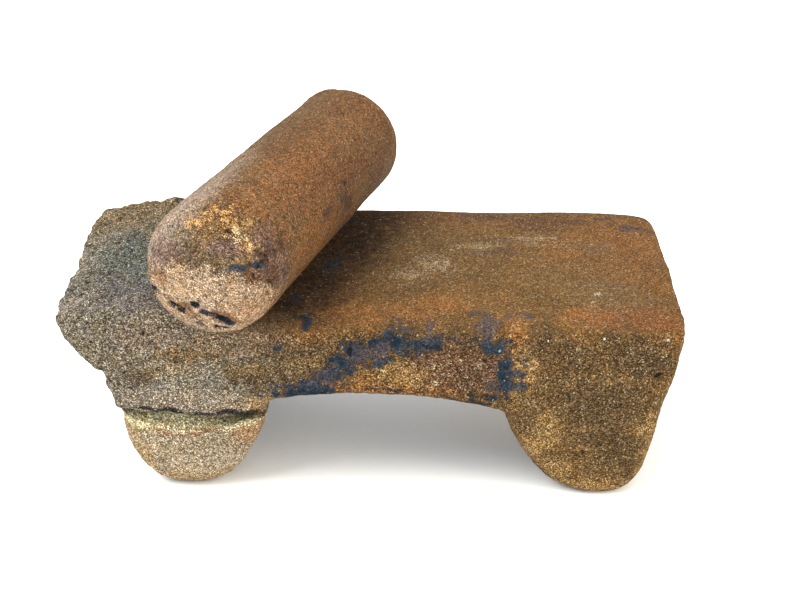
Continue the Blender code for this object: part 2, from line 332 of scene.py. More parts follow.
@dataclass(frozen=True)
class Stain:
    """A colour that lies over the stone at a few spots.

    A tint lies under the grains and keeps their sparkle; a crust lies over them and hides most of it. Level
    shifts how much of each spot is covered: well below 0, only flecks of it are.
    """

    name: str
    pigment: Pigment
    spots: tuple[Spot, ...]
    strength: float = 0.8
    soft: float = 0.25
    ragged: float = 1.2
    level: float = 0.0
    crust: bool = False

    def mark(self, mesh: bpy.types.Mesh, places: np.ndarray) -> None:
        """Note in the mesh how deep each of its points lies inside the stain.

        Args:
            mesh: The piece's mesh.
            places: Its points, already wavering a little.
        """
        depth = np.max([spot.depth(places) for spot in self.spots], axis=0)
        layer = mesh.attributes.new(self.name, 'FLOAT', 'POINT')
        layer.data.foreach_set("value", np.clip(depth, OUTSIDE, 1.0).astype(np.float32))

    def cover(self, bench: Bench, grains: Grains) -> Field:
        """Work out how much of the stain shows, from 0 to its strength, with edges that the grains fray."""
        frayed = bench.attribute(self.name) + grains.fray * self.ragged + self.level
        return bench.smooth(frayed, -self.soft, self.soft, 0.0, self.strength)


@dataclass(frozen=True)
class Crust(Stain):
    """A stain that lies over the grains."""

    crust: bool = True


@dataclass(frozen=True)
class Packing:
    """How the grains of a stone vary.

    The stir and the fine grains are sized in coarse grains, and the rest in metres. The other values are how
    much each layer adds to the grains' light and hue, and to the edges of stains.
    """

    stir_size: float = 1.3
    stir_amount: float = 0.9
    fine_size: float = 0.6
    cloud_size: float = 0.0045
    drift_size: float = 0.009
    fray_size: float = 0.0050
    mottle_size: float = 0.0030
    coarse_light: float = 1.9
    fine_light: float = 2.1
    cloud_light: float = 0.8
    coarse_hue: float = 0.35
    fine_hue: float = 0.2
    drift_hue: float = 2.2
    cool_light: float = 0.65
    fray: float = 1.6
    fine_fray: float = 0.45
    mottle: float = 3.2


@dataclass(frozen=True)
class Sandstone:
    """A finish of packed sand grains: two body tones, coloured grains, tints under them and crusts over them.

    Contrast scales how many times the brightness doubles from a dark grain to a light one. What starts with
    rubbed says how a rubbed place differs: by quieter grains, less roughness and lower relief.
    """

    name: str
    body: Colour
    second: Colour
    grain: float
    contrast: float
    stains: tuple[Stain, ...]
    hue: float = 0.75
    tone_size: float = 0.030
    tone_range: tuple[float, float] = (0.38, 0.62)
    pale_share: float = 0.015
    dark_share: float = 0.03
    rare_cover: float = 0.75
    rare_edge: float = 0.001
    crust_contrast: float = 0.45
    hollow_range: tuple[float, float] = (0.15, 0.9)
    hollow_shade: float = 0.85
    rubbed_quiet: float = 0.38
    rubbed_polish: float = 0.10
    rubbed_level: float = 0.55
    roughness: float = 0.88
    roughness_range: float = 0.16
    roughness_size: float = 0.006
    shine: float = 0.06
    relief: float = 0.0006
    relief_strength: float = 0.9
    grain_height: float = 0.6
    bump_height: float = 1.2
    bump_size: float = 0.0022
    packing: Packing = Packing()

    def rubbed(self, bench: Bench, place: Field) -> Field | float:
        """Say where the stone is rubbed smooth, from 0 to 1: nowhere, unless its kind says otherwise."""
        return 0.0

    def make(self) -> bpy.types.Material:
        """Build the material.

        Returns:
            The finished material.
        """
        bench = Bench(self.name)
        place = bench.place()
        rubbed = self.rubbed(bench, place)
        grains = self.pack_grains(bench, place)

        tones = bench.smooth(bench.noise(place, self.tone_size, detail=4.0), *self.tone_range)
        colour = bench.mix(tones, self.body, self.second)
        colour = self.lay_stains(bench, colour, grains, crust=False)
        colour = self.colour_grains(bench, colour, grains, rubbed)
        colour = self.lay_stains(bench, colour, grains, crust=True)
        # Painted shade: pits, chips and the dips between grains are darkened towards umber.
        hollow = bench.smooth(bench.attribute("hollow"), *self.hollow_range, 0.0, self.hollow_shade)
        colour = bench.mix(hollow, colour, Pigment.SHADE_UMBER.value, "MULTIPLY")
        bench.feed(bench.shader.inputs["Base Color"], colour)

        patchy = bench.noise(place, self.roughness_size, detail=2.0) * self.roughness_range
        dull = patchy + (self.roughness - self.roughness_range / 2.0)
        bench.feed(bench.shader.inputs["Roughness"], dull - rubbed * self.rubbed_polish)
        bench.feed(bench.shader.inputs["Specular IOR Level"], self.shine)
        bench.feed(bench.shader.inputs["Normal"], self.bumps(bench, place, rubbed))
        return bench.material

    def pack_grains(self, bench: Bench, place: Field) -> Grains:
        """Pack uneven grains of two sizes, with their own brightness and hue.

        Args:
            bench: The material's bench.
            place: Position on the piece.

        Returns:
            The grains.
        """
        pack = self.packing
        uneven = bench.stir(place, self.grain * pack.stir_size, self.grain * pack.stir_amount)
        coarse = bench.cells(uneven, self.grain, "Color")
        fine = bench.cells(uneven, self.grain * pack.fine_size, "Color")
        red, green, blue = (bench.channel(coarse, name) for name in ("Red", "Green", "Blue"))
        fine_red, fine_green = (bench.channel(fine, name) for name in ("Red", "Green"))
        clouds = bench.noise(place, pack.cloud_size, detail=3.0)
        light = red.swing(pack.coarse_light) + fine_red.swing(pack.fine_light)
        light = light + clouds.swing(pack.cloud_light)
        drift = bench.noise(place, pack.drift_size, detail=4.0)
        hue = green.swing(pack.coarse_hue) + fine_green.swing(pack.fine_hue) + drift.swing(pack.drift_hue)
        ragged = bench.noise(place, pack.fray_size, detail=4.0)
        fray = ragged.swing(pack.fray) + fine_red.swing(pack.fine_fray)
        mottle = bench.noise(place, pack.mottle_size, detail=3.0).swing(pack.mottle)
        return Grains(light, hue - light * pack.cool_light, blue, fray, mottle)

    def lay_stains(self, bench: Bench, colour: Field, grains: Grains, crust: bool) -> Field:
        """Lay the tints or the crusts over a colour, in order.

        Args:
            bench: The material's bench.
            colour: The colour so far.
            grains: The grains.
            crust: Whether the crusts are laid, or else the tints.

        Returns:
            The stained colour.
        """
        faint = 2.0 ** (grains.light * (self.contrast * self.crust_contrast) + grains.mottle)
        for stain in self.stains:
            if stain.crust == crust:
                over = stain.pigment.value
                if crust:
                    over = bench.vector("SCALE", {0: over[:3], "Scale": faint})
                colour = bench.mix(stain.cover(bench, grains), colour, over)
        return colour

    def colour_grains(self, bench: Bench, colour: Field, grains: Grains, rubbed: Field | float) -> Field:
        """Break the colour into grains.

        Args:
            bench: The material's bench.
            colour: The tinted body colour.
            grains: The grains.
            rubbed: Where the stone is smooth, and its grains are quieter.

        Returns:
            The colour with its grains.
        """
        quiet = 1.0 - rubbed * self.rubbed_quiet
        warmth = bench.smooth(grains.hue * quiet * self.hue + Field.MIDDLE, 0.0, 1.0)
        tint = bench.mix(warmth, COOL_GRAIN, WARM_GRAIN)
        colour = bench.vector("MULTIPLY", {0: colour, 1: tint})
        brightness = 2.0 ** (grains.light * quiet * self.contrast)
        colour = bench.vector("SCALE", {0: colour, "Scale": brightness})
        least, most = 1.0 - self.pale_share, self.dark_share
        pale = bench.smooth(grains.rare, least, least + self.rare_edge, 0.0, self.rare_cover) * quiet
        colour = bench.mix(pale, colour, Pigment.CREAM.value)
        dark = bench.smooth(grains.rare, most, most - self.rare_edge, 0.0, self.rare_cover) * quiet
        return bench.mix(dark, colour, Pigment.INK.value)

    def bumps(self, bench: Bench, place: Field, rubbed: Field | float) -> Field:
        """Raise the grains that are finer than the mesh.

        Args:
            bench: The material's bench.
            place: Position on the piece.
            rubbed: Where the stone is smooth.

        Returns:
            The surface normal.
        """
        rounded = 1.0 - bench.cells(place, self.grain, "Distance")
        uneven = bench.noise(place, self.bump_size, detail=4.0)
        height = rounded * self.grain_height + uneven * self.bump_height
        height = height * (1.0 - rubbed * self.rubbed_level)
        sockets = {"Height": height, "Strength": self.relief_strength, "Distance": self.relief}
        return bench.add("ShaderNodeBump", {}, sockets)


@dataclass(frozen=True)
class GroundSandstone(Sandstone):
    """Sandstone with a level top that grinding rubbed smooth, from a line along the slab to its right end."""

    top: float = 0.118
    edge: float = 0.004
    smooth_from: float = -0.06
    smooth_fade: float = 0.05
    rough_to: float = -0.05
    rough_fade: float = 0.04
    rougher: float = 0.10

    def rubbed(self, bench: Bench, place: Field) -> Field:
        """Say where the stone is rubbed smooth: on the ground part of its top."""
        high = bench.smooth(bench.axis(place, "Z"), self.top - self.edge, self.top)
        along = bench.axis(place, "X")
        rougher = bench.smooth(along, self.rough_to - self.rough_fade, self.rough_to, self.rougher, 0.0)
        return high * bench.smooth(along, self.smooth_from - self.smooth_fade, self.smooth_from) - rougher


@dataclass(frozen=True)
class RollerSandstone(Sandstone):
    """Sandstone rubbed smooth along a barrel, less so at the end that overhangs the front."""

    barrel_from: float = -0.095
    barrel_fade: float = 0.04
    end_rubbed: float = 0.60
    barrel_rubbed: float = 0.90

    def rubbed(self, bench: Bench, place: Field) -> Field:
        """Say where the stone is rubbed smooth: along its barrel."""
        start, full = self.barrel_from, self.barrel_from + self.barrel_fade
        return bench.smooth(bench.axis(place, "Y"), start, full, self.end_rubbed, self.barrel_rubbed)


@dataclass(frozen=True)
class Chip:
    """A hollow in a stone, or a swelling where its depth is below 0: where, and how deep."""

    spot: Spot
    depth: float
    sharp: float = 0.35
    reach: float = 0.6
    uneven: float = 0.25

    def cut(self, place: Vector, into: Matrix, fray: float) -> float:
        """Work out the depth of the chip at a point.

        Args:
            place: The point.
            into: The spot's frame, worked out once.
            fray: Noise, about -1 to 1, that makes its rim uneven.

        Returns:
            Depth in metres, 0 outside.
        """
        inside = 1.0 - (into @ place).length
        if inside < -self.reach:
            return 0.0
        return self.depth * ease(inside + self.uneven * fray, 0.0, self.sharp)


@dataclass(frozen=True)
class Wear:
    """How uneven a stone's surface is.

    Swell, lump, grain and pit are heights or depths, and the sizes are widths, all in metres. The pits' own
    sizes are shares of their spacing.
    """

    swell: float
    lump: float
    grain: float
    pit: float
    swell_size: float = 0.028
    lump_size: float = 0.0095
    grain_size: float = 0.0036
    pit_spacing: float = 0.011
    least_pit: float = 0.10
    pit_range: float = 0.16
    pit_rim: float = 0.12
    pit_variety: float = 5.7
    finer: float = 2.0
    finer_share: float = 0.5
    shade: float = 0.5

    def height(self, place: Vector, rough: float) -> tuple[float, float]:
        """Work out the relief at a point.

        Args:
            place: The point.
            rough: How rough the stone is there; 1 is usual.

        Returns:
            The height, and how far into a hollow the point is, from 0 to 1.
        """
        swell = noise.noise(place / self.swell_size)
        lump = noise.noise(place / self.lump_size + LUMP_SHIFT)
        grain = noise.noise(place / self.grain_size)
        grains = grain + self.finer_share * noise.noise(place * self.finer / self.grain_size)
        pit = self.pitting(place)
        height = self.swell * swell + rough * (self.lump * lump + self.grain * grains - self.pit * pit)
        return height, rough * self.shade * (pit + max(0.0, -grains))

    def pitting(self, place: Vector) -> float:
        """Give the depth of the scattered pits at a point, from 0 to 1."""
        distances, middles = noise.voronoi(place / self.pit_spacing)
        size = self.least_pit + self.pit_range * abs(noise.noise(middles[0] * self.pit_variety))
        return ease(size - distances[0], 0.0, self.pit_rim)


@dataclass
class CarvedStone:
    """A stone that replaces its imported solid: finely remeshed, worn, chipped and dressed."""

    node: str
    slot: str
    cell: float
    wear: Wear
    chips: tuple[Chip, ...] = ()
    smoothing: int = 5
    foot_height: float = 0.004
    waver: float = 0.0035
    waver_size: float = 0.009
    weld: float = 0.00005
    smooth_factor: float = 0.5
    fray_size: float = 0.004
    chip_shade: float = 0.25

    def finish(self) -> Sandstone:
        """Give the stone's finish."""
        raise NotImplementedError

    def rough_at(self, place: Vector) -> float:
        """Say how rough the stone is at a point; 1 is usual."""
        return 1.0

    def keeps_edge(self, place: Vector) -> bool:
        """Say whether a point stays sharp when the stone is smoothed."""
        return False

    def fine_copy(self) -> bmesh.types.BMesh:
        """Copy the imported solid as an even, fine mesh.

        Returns:
            The mesh, still with the solid's flats.
        """
        solid = bmesh.new()
        solid.from_mesh(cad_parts[self.node].data)
        bmesh.ops.remove_doubles(solid, verts=solid.verts, dist=self.weld)
        mesh = bpy.data.meshes.new(self.node + "_coarse")
        solid.to_mesh(mesh)
        solid.free()
        coarse = bpy.data.objects.new(self.node + "_coarse", mesh)
        bpy.context.scene.collection.objects.link(coarse)
        remesh = coarse.modifiers.new("fine", 'REMESH')
        remesh.mode = 'VOXEL'
        remesh.voxel_size = self.cell
        graph = bpy.context.evaluated_depsgraph_get()
        fine = bmesh.new()
        fine.from_object(coarse, graph)
        bpy.data.objects.remove(coarse, do_unlink=True)
        return fine

    def soften(self, bm: bmesh.types.BMesh) -> None:
        """Smooth the solid's flats away, but keep broken edges and the flat feet."""
        loose = [vert for vert in bm.verts if not self.keeps_edge(vert.co) and vert.co.z > self.cell]
        axes = {"use_axis_x": True, "use_axis_y": True, "use_axis_z": True}
        for _ in range(self.smoothing):
            bmesh.ops.smooth_vert(bm, verts=loose, factor=self.smooth_factor, **axes)

    def weather(self, bm: bmesh.types.BMesh) -> None:
        """Move every point by the wear and the chips, and note its hollows and chips in an attribute."""
        bm.normal_update()
        hollow_layer = bm.verts.layers.float.new("hollow")
        frames = [(chip, chip.spot.frame()) for chip in self.chips]
        moves = []
        for vert in bm.verts:
            place = vert.co.copy()
            height, hollow = self.wear.height(place, self.rough_at(place))
            fray = noise.noise(place / self.fray_size)
            for chip, into in frames:
                depth = chip.cut(place, into, fray)
                height -= depth
                hollow += self.chip_shade * depth / chip.depth
            standing = ease(place.z, 0.0, self.foot_height)
            moves.append(vert.normal * height * standing)
            vert[hollow_layer] = min(hollow, 1.0)
        for vert, move in zip(bm.verts, moves):
            vert.co += move
            vert.co.z = max(vert.co.z, 0.0)

    def mark_stains(self, mesh: bpy.types.Mesh, stains: tuple[Stain, ...]) -> None:
        """Note every stain's place in the mesh, with outlines that waver.

        Args:
            mesh: The piece's mesh.
            stains: The stains of its finish.
        """
        push = [
            [noise.noise(vert.co / self.waver_size + shift) for shift in WAVER_SHIFTS]
            for vert in mesh.vertices
        ]
        places = np.empty(3 * len(mesh.vertices))
        mesh.vertices.foreach_get("co", places)
        places = places.reshape(-1, 3) + self.waver * np.array(push)
        for stain in stains:
            stain.mark(mesh, places)

    def build(self) -> bpy.types.Object:
        """Build the piece, dress it, and put it in its solid's place.

        Returns:
            The finished object.
        """
        bm = self.fine_copy()
        self.soften(bm)
        self.weather(bm)
        mesh = bpy.data.meshes.new(self.node + "_stone")
        bm.to_mesh(mesh)
        bm.free()
        mesh.shade_smooth()
        finish = self.finish()
        self.mark_stains(mesh, finish.stains)
        mesh.materials.append(finish.make())
        piece = bpy.data.objects.new(self.node + "_stone", mesh)
        bpy.context.scene.collection.objects.link(piece)
        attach(piece, "root")
        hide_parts(self.node)
        log.info("%s: %d faces", piece.name, len(mesh.polygons))
        return piece


@dataclass
class Quern(CarvedStone):
    """The quern: a ground slab on three whole legs and the stump of the fourth."""

    node: str = "quern"
    slot: str = "quern_stone"
    cell: float = 0.00152
    wear: Wear = Wear(swell=0.0006, lump=0.0006, grain=0.00038, pit=0.0009)
    chips: tuple[Chip, ...] = (
        Chip(Spot((-158, -66, 81), (10, 44, 8)), 0.0024, 0.5),
        Chip(Spot((-176, -50, 98), (8, 30, 5)), 0.0012, 0.6),
        Chip(Spot((-180, -20, 122), (8, 14, 9)), 0.0014, 0.6),
        Chip(Spot((-168, 64, 124), (12, 16, 7)), 0.0018, 0.6),
        Chip(Spot((-130, 70, 125), (28, 18, 12)), -0.0030, 0.7),
        Chip(Spot((166, -84, 89), (5, 8, 2.5)), 0.0014, 0.5),
    )
    break_heights: tuple[float, float] = (0.050, 0.064)
    stump_right: float = -0.055
    stump_back: float = -0.01
    ground_heights: tuple[float, float] = (0.114, 0.118)
    ground_from: tuple[float, float] = (-0.12, -0.05)
    ground_smoother: float = 0.75
    left_from: tuple[float, float] = (0.10, 0.16)
    left_rougher: float = 1.3
    front: float = -84.0
    front_depth: float = 14.0
    top: float = 121.0
    top_depth: float = 12.0

    def rough_at(self, place: Vector) -> float:
        """Say how rough the stone is: smooth on its ground top, roughest round its left end."""
        ground = ease(place.z, *self.ground_heights) * ease(place.x, *self.ground_from)
        left = ease(-place.x, *self.left_from)
        return (1.0 + self.left_rougher * left) * (1.0 - self.ground_smoother * ground)

    def keeps_edge(self, place: Vector) -> bool:
        """Keep the rim of the stump sharp."""
        low, high = self.break_heights
        return place.x < self.stump_right and place.y < self.stump_back and low < place.z < high

    def front_spots(self, *rows: tuple[float, ...]) -> tuple[Spot, ...]:
        """Place spots on the front face.

        Args:
            rows: For each x, z, half length and half height, and perhaps its slope in degrees.

        Returns:
            The spots.
        """
        return tuple(
            Spot((x, self.front, z), (length, self.front_depth, height), (0.0, -sum(rise), 0.0))
            for x, z, length, height, *rise in rows
        )

    def top_spots(self, *rows: tuple[float, ...]) -> tuple[Spot, ...]:
        """Place spots on the top.

        Args:
            rows: For each x, y, half length and half width, and perhaps its turn in degrees.

        Returns:
            The spots.
        """
        return tuple(
            Spot((x, y, self.top), (length, width, self.top_depth), (0.0, 0.0, sum(turn)))
            for x, y, length, width, *turn in rows
        )

    def finish(self) -> Sandstone:
        """Give the quern's finish: warm brown, grey to the left, with blue-black crusts on the front."""
        stains = (*self.body_tints(), *self.top_tints(), *self.crusts())
        return GroundSandstone(
            "quern_sandstone", earth(128, 93, 53), earth(108, 80, 45), 0.00072, 1.50, stains,
        )

    def body_tints(self) -> tuple[Stain, ...]:
        """Give the broad tints: grey at the left, olive on the right leg, rust and ochre along the edges."""
        front, top = self.front_spots, self.top_spots
        return (
            Stain("grey left end", Pigment.ASH, (Spot((-150, -45, 80), (100, 130, 110)),),
                strength=0.80, soft=0.55, ragged=0.6),
            Stain("olive right leg", Pigment.OLIVE, (Spot((130, -60, 30), (75, 100, 75)),),
                strength=0.60, soft=0.40, ragged=0.5),
            Stain("olive top", Pigment.OLIVE, top((20, 5, 80, 40), (110, -20, 30, 20)),
                strength=0.65, soft=0.60, ragged=1.6),
            Stain("reddish top", Pigment.BRICK, top((150, 20, 45, 50), (40, 60, 60, 14)),
                strength=0.30, soft=0.60, ragged=2.2),
            Stain("dull back edge", Pigment.DRAB, top((70, 66, 120, 14)),
                strength=0.45, soft=0.50, ragged=2.0),
            Stain("red-brown front", Pigment.PLUM, front((52, 96, 34, 18)),
                strength=0.60, soft=0.35, ragged=0.9),
            Stain("dark front", Pigment.DRAB, front(
                (-30, 100, 34, 16, 12), (0, 110, 30, 8), (40, 112, 50, 9),
            ), strength=0.55, soft=0.45, ragged=1.4),
            Stain("golden front", Pigment.OCHRE, front((18, 88, 15, 8), (88, 92, 8, 16)),
                strength=0.45, soft=0.40, ragged=1.0),
            Stain("rust along the front edge", Pigment.RUST, (
                *top((-10, -68, 24, 12), (42, -55, 14, 11), (20, -66, 20, 8), (120, -66, 14, 7)),
                *front((-6, 79, 16, 4.5), (24, 78, 18, 3), (83, 116, 8, 7), (70, 77, 8, 2)),
                *front((-36, 116, 10, 6)),
            ), strength=0.50, soft=0.55, ragged=1.9),
            Stain("brick-red right corner", Pigment.BRICK, top((155, -69, 34, 12)),
                strength=0.55, soft=0.55, ragged=1.6),
            Stain("ochre rims of the right leg", Pigment.OCHRE, front(
                (97, 40, 8, 22, -25), (110, 20, 8, 8, -40), (130, 6, 34, 8), (163, 35, 6, 25),
                (104, 58, 8, 14),
            ), strength=0.60, soft=0.45, ragged=1.0),
            Stain("ochre rim of the stump", Pigment.OCHRE, front((-68, 67, 12, 6)),
                strength=0.55, soft=0.40, ragged=1.0),
            Stain("dark patches of the front", Pigment.DRAB, front(
                (136, 46, 15, 7), (150, 38, 14, 9), (154, 27, 8, 7), (160, 98, 12, 11), (100, 118, 8, 4),
                (142, 113, 12, 5), (120, 96, 12, 5), (108, 106, 18, 9), (150, 104, 20, 10),
                (128, 70, 30, 14), (-134, 86, 8, 5), (-109, 101, 8, 5), (-91, 103, 5, 4),
                (-79, 88, 6, 8), (-66, 82, 7, 8),
            ), strength=0.75, soft=0.40, ragged=1.8),
            Stain("yellow-brown left", Pigment.OCHRE, front(
                (-102, 103, 26, 7), (-70, 92, 14, 6), (-40, 96, 16, 6), (-118, 92, 20, 5),
            ), strength=0.25, soft=0.35, ragged=2.6, level=-0.5),
            Stain("green-grey stump", Pigment.ASH, front((-112, 72, 44, 9)),
                strength=0.50, soft=0.45, ragged=1.6),
            Stain("lower left tan", Pigment.TAN, front((-110, 68, 40, 8)),
                strength=0.25, soft=0.40, ragged=0.8),
            Stain("reddish left front", Pigment.BRICK, front((-120, 112, 30, 9), (-70, 112, 24, 8)),
                strength=0.20, soft=0.45, ragged=2.2, level=-0.2),
            # Painted shade: the stump's broken underside and the lip along its front are painted near black,
            # where the gap lies in shadow.
            Stain("painted shade in the break", Pigment.INK, (
                Spot((-112, -55, 56), (54, 27, 6)),
                *front((-118, 62, 26, 1.6, -3), (-84, 60.4, 20, 2.2, -3)),
            ), strength=0.92, soft=0.25, ragged=0.8),
        )

    def top_tints(self) -> tuple[Stain, ...]:
        """Give the tints of the top: painted shadow beside the handstone and over the middle, pale rubbed
        patches, and streaks.
        """
        top = self.top_spots
        return (
            # Painted shadow: the soft edge of the handstone's shadow over the middle of the top.
            Stain("painted faint shadow on the middle", Pigment.SHADE_UMBER, top((14, 6, 52, 62, -20)),
                strength=0.30, soft=0.60, ragged=1.4),
            # Painted shadow: the dark strip along the handstone's right, where its shadow falls on the top.
            Stain("painted shadow beside the handstone", Pigment.SHADE_UMBER, top(
                (-14, 20, 22, 62, -20), (-34, -34, 20, 40, -20), (-48, -58, 14, 14),
            ), strength=0.85, soft=0.55, ragged=1.1),
            Stain("yellow-brown left corner", Pigment.OLIVE, top((-150, 42, 44, 26)),
                strength=0.55, soft=0.45, ragged=0.8),
            Stain("teal left", Pigment.TEAL, top((-144, -16, 24, 38)), strength=0.75, soft=0.45, ragged=1.3),
            Stain("purple left", Pigment.MAUVE, top((-146, -58, 30, 18)),
                strength=0.45, soft=0.50, ragged=2.0),
            Stain("pale rubbed patches", Pigment.CREAM, top(
                (37, -7, 13, 11), (96, 26, 16, 7), (62, 16, 12, 6), (22, -22, 10, 7), (-167, -64, 6, 9),
            ), strength=0.15, soft=0.45, ragged=3.0, level=-0.45),
            Stain("grey right patch", Pigment.MOSS, top((140, -46, 20, 16), (135, 16, 12, 8)),
                strength=0.30, soft=0.50, ragged=1.6),
            Stain("plum streaks", Pigment.PLUM, top(
                (70, 56, 18, 5), (161, 41, 14, 4, -12), (143, 53, 7, 3), (84, 24, 12, 3),
                (96, 42, 16, 4, -8),
                (74, 9, 14, 3), (110, 50, 30, 5),
            ), strength=0.50, soft=0.35, ragged=1.1),
        )

    def crusts(self) -> tuple[Stain, ...]:
        """Give the crusts: blue-black over the front, dark flecks and pits, and bright crystals."""
        front, top = self.front_spots, self.top_spots
        return (
            Crust("slate crust", Pigment.SLATE, front(
                (14, 111, 6, 7, 10), (1, 111, 8, 3, 18), (6, 98, 7, 3, 8), (-12, 106, 4, 4),
                (-19, 97, 5, 3.5),
                (29, 108, 11, 4, 12), (-10, 103, 4, 6), (-26, 87, 13, 4.5, 18), (-39, 80, 13, 3.5, 12),
                (71, 109, 7, 4), (77, 91, 5, 11, -12), (85, 91, 3, 2), (78, 82, 8, 3.5), (-37, 120, 2.5, 2),
                (-52, 108, 3, 2), (-36, 77, 15, 4, 10),
            ), strength=0.88, soft=0.30, ragged=2.4, level=0.15),
            Crust("mauve crust", Pigment.MAUVE, front(
                (2, 103, 13, 5, 15), (33, 116, 2.5, 6), (67, 119, 5, 5), (-30, 86, 8, 4, 15),
            ), strength=0.75, soft=0.30, ragged=2.2, level=-0.05),
            Crust("navy core", Pigment.NAVY, front(
                (13, 113, 4, 4), (-1, 111, 5, 2, 18), (-20, 97, 3, 2.2), (-38, 73.5, 20, 2.4),
                (70, 75, 10, 1.7, -8),
                (57, 70.5, 13, 2.0, -7), (32, 77, 6, 1.3, -8), (9, 79, 10, 1.1), (77, 90, 3, 6),
                (36, 107, 5, 2),
            ), strength=0.80, soft=0.25, ragged=2.6, level=-0.05),
            Crust("black flecks beside the handstone", Pigment.INK, top(
                (-14, 20, 26, 66, -20), (-34, -34, 22, 42, -20), (-48, -58, 16, 14),
            ), strength=0.75, soft=0.20, ragged=3.2, level=-1.25),
            Crust("slate marks on the top", Pigment.SLATE, top(
                (81, -67, 5, 4), (90, -68, 3, 3), (60, -66, 6, 3), (-22, 52, 10, 12), (-26, -12, 8, 9),
                (-44, -52, 4, 4), (160, 41, 9, 2.5, -12), (144, 54, 4, 2),
            ), strength=0.55, soft=0.25, ragged=3.0, level=-0.2),
            Crust("black pits", Pigment.INK, front(
                (166, 89, 4, 1.6), (124, 36.5, 1.3, 1.3), (66, 100, 1.5, 1.2), (-12, 104, 1.5, 3),
                (112, 98, 1.4, 1.0),
            ), strength=0.90, soft=0.20, ragged=0.5),
            Crust("crystals", Pigment.CRYSTAL, (
                *front((169, 112, 1.1, 1.0), (170, 103, 0.8, 0.8), (131, 114, 1.0, 0.9), (101, 113, 0.8, 0.8),
                       (74, 107, 0.9, 0.9)),
                *top((128, -34, 0.4, 0.6), (141, -37, 0.5, 0.7), (132, -44, 0.4, 0.5)),
            ), strength=0.85, soft=0.20, ragged=0.4),
            Crust("pale flecks", Pigment.CREAM, (
                *top((135, -44, 22, 22), (37, -7, 14, 12), (92, 24, 22, 10)), *front((40, 92, 70, 26)),
            ), strength=0.60, soft=0.12, ragged=3.2, level=-1.80),
        )


@dataclass
class BrokenLeg(CarvedStone):
    """The front left leg, which stands under its stump with a chip along its front edge."""

    node: str = "broken_leg"
    slot: str = "broken_leg_stone"
    cell: float = 0.0008
    wear: Wear = Wear(swell=0.0004, lump=0.0005, grain=0.00030, pit=0.0006)
    break_height: float = 0.043

    def keeps_edge(self, place: Vector) -> bool:
        """Keep the broken top sharp."""
        return place.z > self.break_height

    def finish(self) -> Sandstone:
        """Give the leg's finish: pinkish tan, yellow along its lower rim, and pale where it chipped."""
        stains = (
            Stain("yellow lower rim", Pigment.OCHRE, (
                Spot((-108, -75, 3), (38, 24, 9)), Spot((-138, -75, 22), (8, 24, 16)),
                Spot((-142, -75, 44), (6, 24, 8)),
            ), strength=0.50, soft=0.40, ragged=0.9),
            Stain("rust on the right side", Pigment.RUST, (Spot((-70, -75, 44), (12, 24, 12)),),
                strength=0.50, soft=0.40, ragged=0.9),
            Stain("grey middle", Pigment.ASH, (Spot((-96, -80, 34), (20, 14, 9)),),
                strength=0.30, soft=0.45, ragged=1.0),
            Stain("pale chip", Pigment.LICHEN, (
                Spot((-112, -74, 54), (46, 14, 6)), Spot((-86, -76, 55), (20, 12, 5)),
            ), strength=0.80, soft=0.30, ragged=1.4),
            Stain("green in the chip", Pigment.MOSS, (
                Spot((-80, -76, 56), (16, 8, 3)),
            ), strength=0.50, soft=0.25, ragged=1.8),
            # Painted shade: the leg's broken top, hidden in the gap under the stump, is painted near black.
            Stain("painted shade in the break", Pigment.INK, (Spot((-112, -50, 59), (54, 25, 6)),),
                strength=0.92, soft=0.15, ragged=0.5),
            Stain("reddish line under the chip", Pigment.BRICK, (
                Spot((-100, -84, 46.5), (12, 12, 1.4), (0, -10, 0)),
                Spot((-120, -84, 45.5), (10, 12, 1.4), (0, 10, 0)),
            ), strength=0.55, soft=0.30, ragged=0.9),
        )
        return Sandstone(
            "broken_leg_sandstone", earth(180, 159, 131), earth(168, 148, 120), 0.00074, 1.35, stains,
            hue=0.6, dark_share=0.012,
        )


